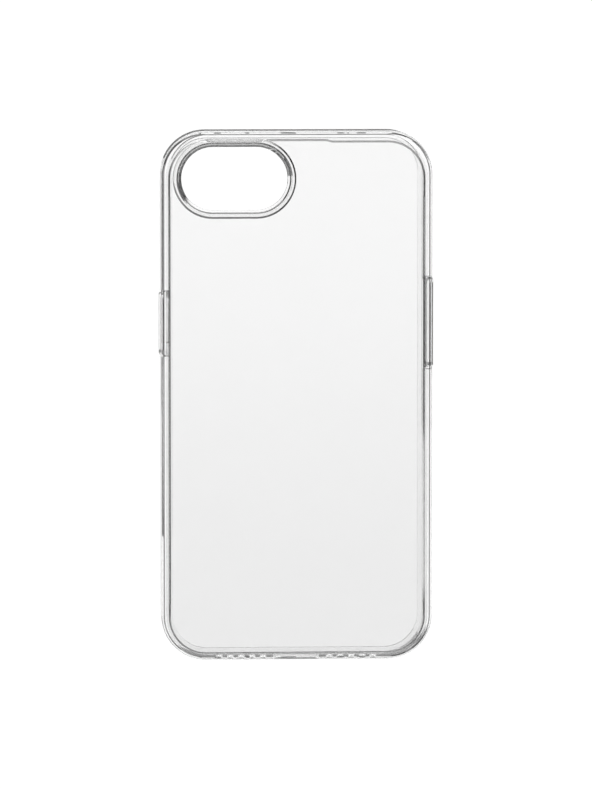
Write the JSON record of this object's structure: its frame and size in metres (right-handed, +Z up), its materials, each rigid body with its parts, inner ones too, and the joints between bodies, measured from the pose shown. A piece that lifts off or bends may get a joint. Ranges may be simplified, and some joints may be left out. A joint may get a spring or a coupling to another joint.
{
  "type": "phone case",
  "caption": "Clear protective case for a flat slab handset, with a hard back plate, soft bumper frame, pill-shaped camera ring and moving button covers.",
  "frame": {"origin": "bottom centre of the whole case, standing on its bottom end", "axes": "+Z up along the case's height to the top end, +X to the right when the back is looked at, +Y from the back towards the open screen side"},
  "size_m": [0.0776, 0.0114, 0.1498],
  "materials": {
    "soft_clear": "gloss",
    "hard_clear": "gloss",
    "ring_clear": "gloss",
    "cover_clear": "satin"
  },
  "bodies": {
    "case_body": {"bumper_frame": "soft_clear", "back_plate": "hard_clear", "camera_ring": "ring_clear"},
    "side_button": {"side_button_cover": "cover_clear"},
    "volume_button": {"volume_button_cover": "cover_clear"}
  },
  "joints": [
    {"name": "side_button_press", "type": "slide", "parent": "case_body", "child": "side_button", "axis": [1, 0, 0], "range_m": [0, 0.0004], "stiffness_N_per_m": 1200},
    {"name": "volume_button_rock", "type": "hinge", "parent": "case_body", "child": "volume_button", "pos_m": [0.037, 0.00065, 0.0952], "axis": [0, 1, 0], "range_deg": [-1.3, 1.3], "stiffness_Nm_per_rad": 0.8}
  ]
}
